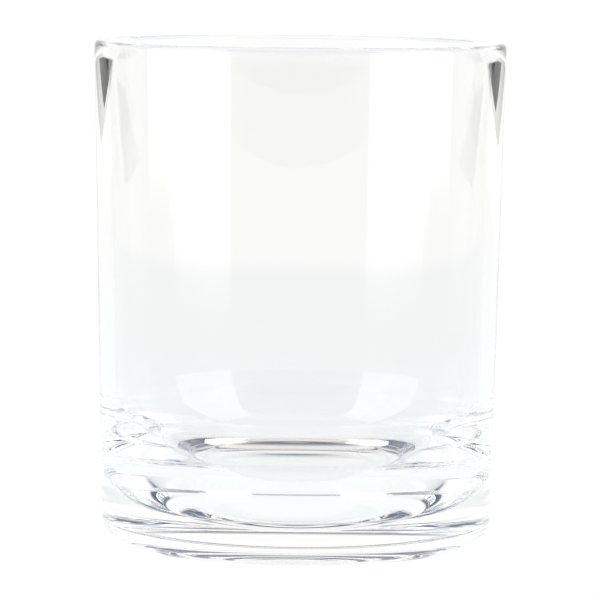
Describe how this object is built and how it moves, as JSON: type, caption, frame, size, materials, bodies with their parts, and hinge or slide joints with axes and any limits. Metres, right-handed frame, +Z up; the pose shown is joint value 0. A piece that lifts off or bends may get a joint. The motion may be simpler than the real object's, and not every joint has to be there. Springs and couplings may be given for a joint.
{
  "type": "whiskey tumbler",
  "caption": "Clear drinking tumbler: straight, slightly tapered round wall, rounded rim and heel, and a thick solid base with a curved floor.",
  "frame": {"origin": "centre of the foot ring's flat underside, at the lowest point", "axes": "+Z up along the tumbler's axis, towards the open rim; round about Z, so X and Y are alike; -Y faces the viewer"},
  "size_m": [0.082, 0.082, 0.1],
  "materials": {
    "clear_body": "clear, colourless, smooth and glossy inside and out"
  },
  "bodies": {
    "root": {"tumbler_body": "clear_body"}
  },
  "joints": []
}
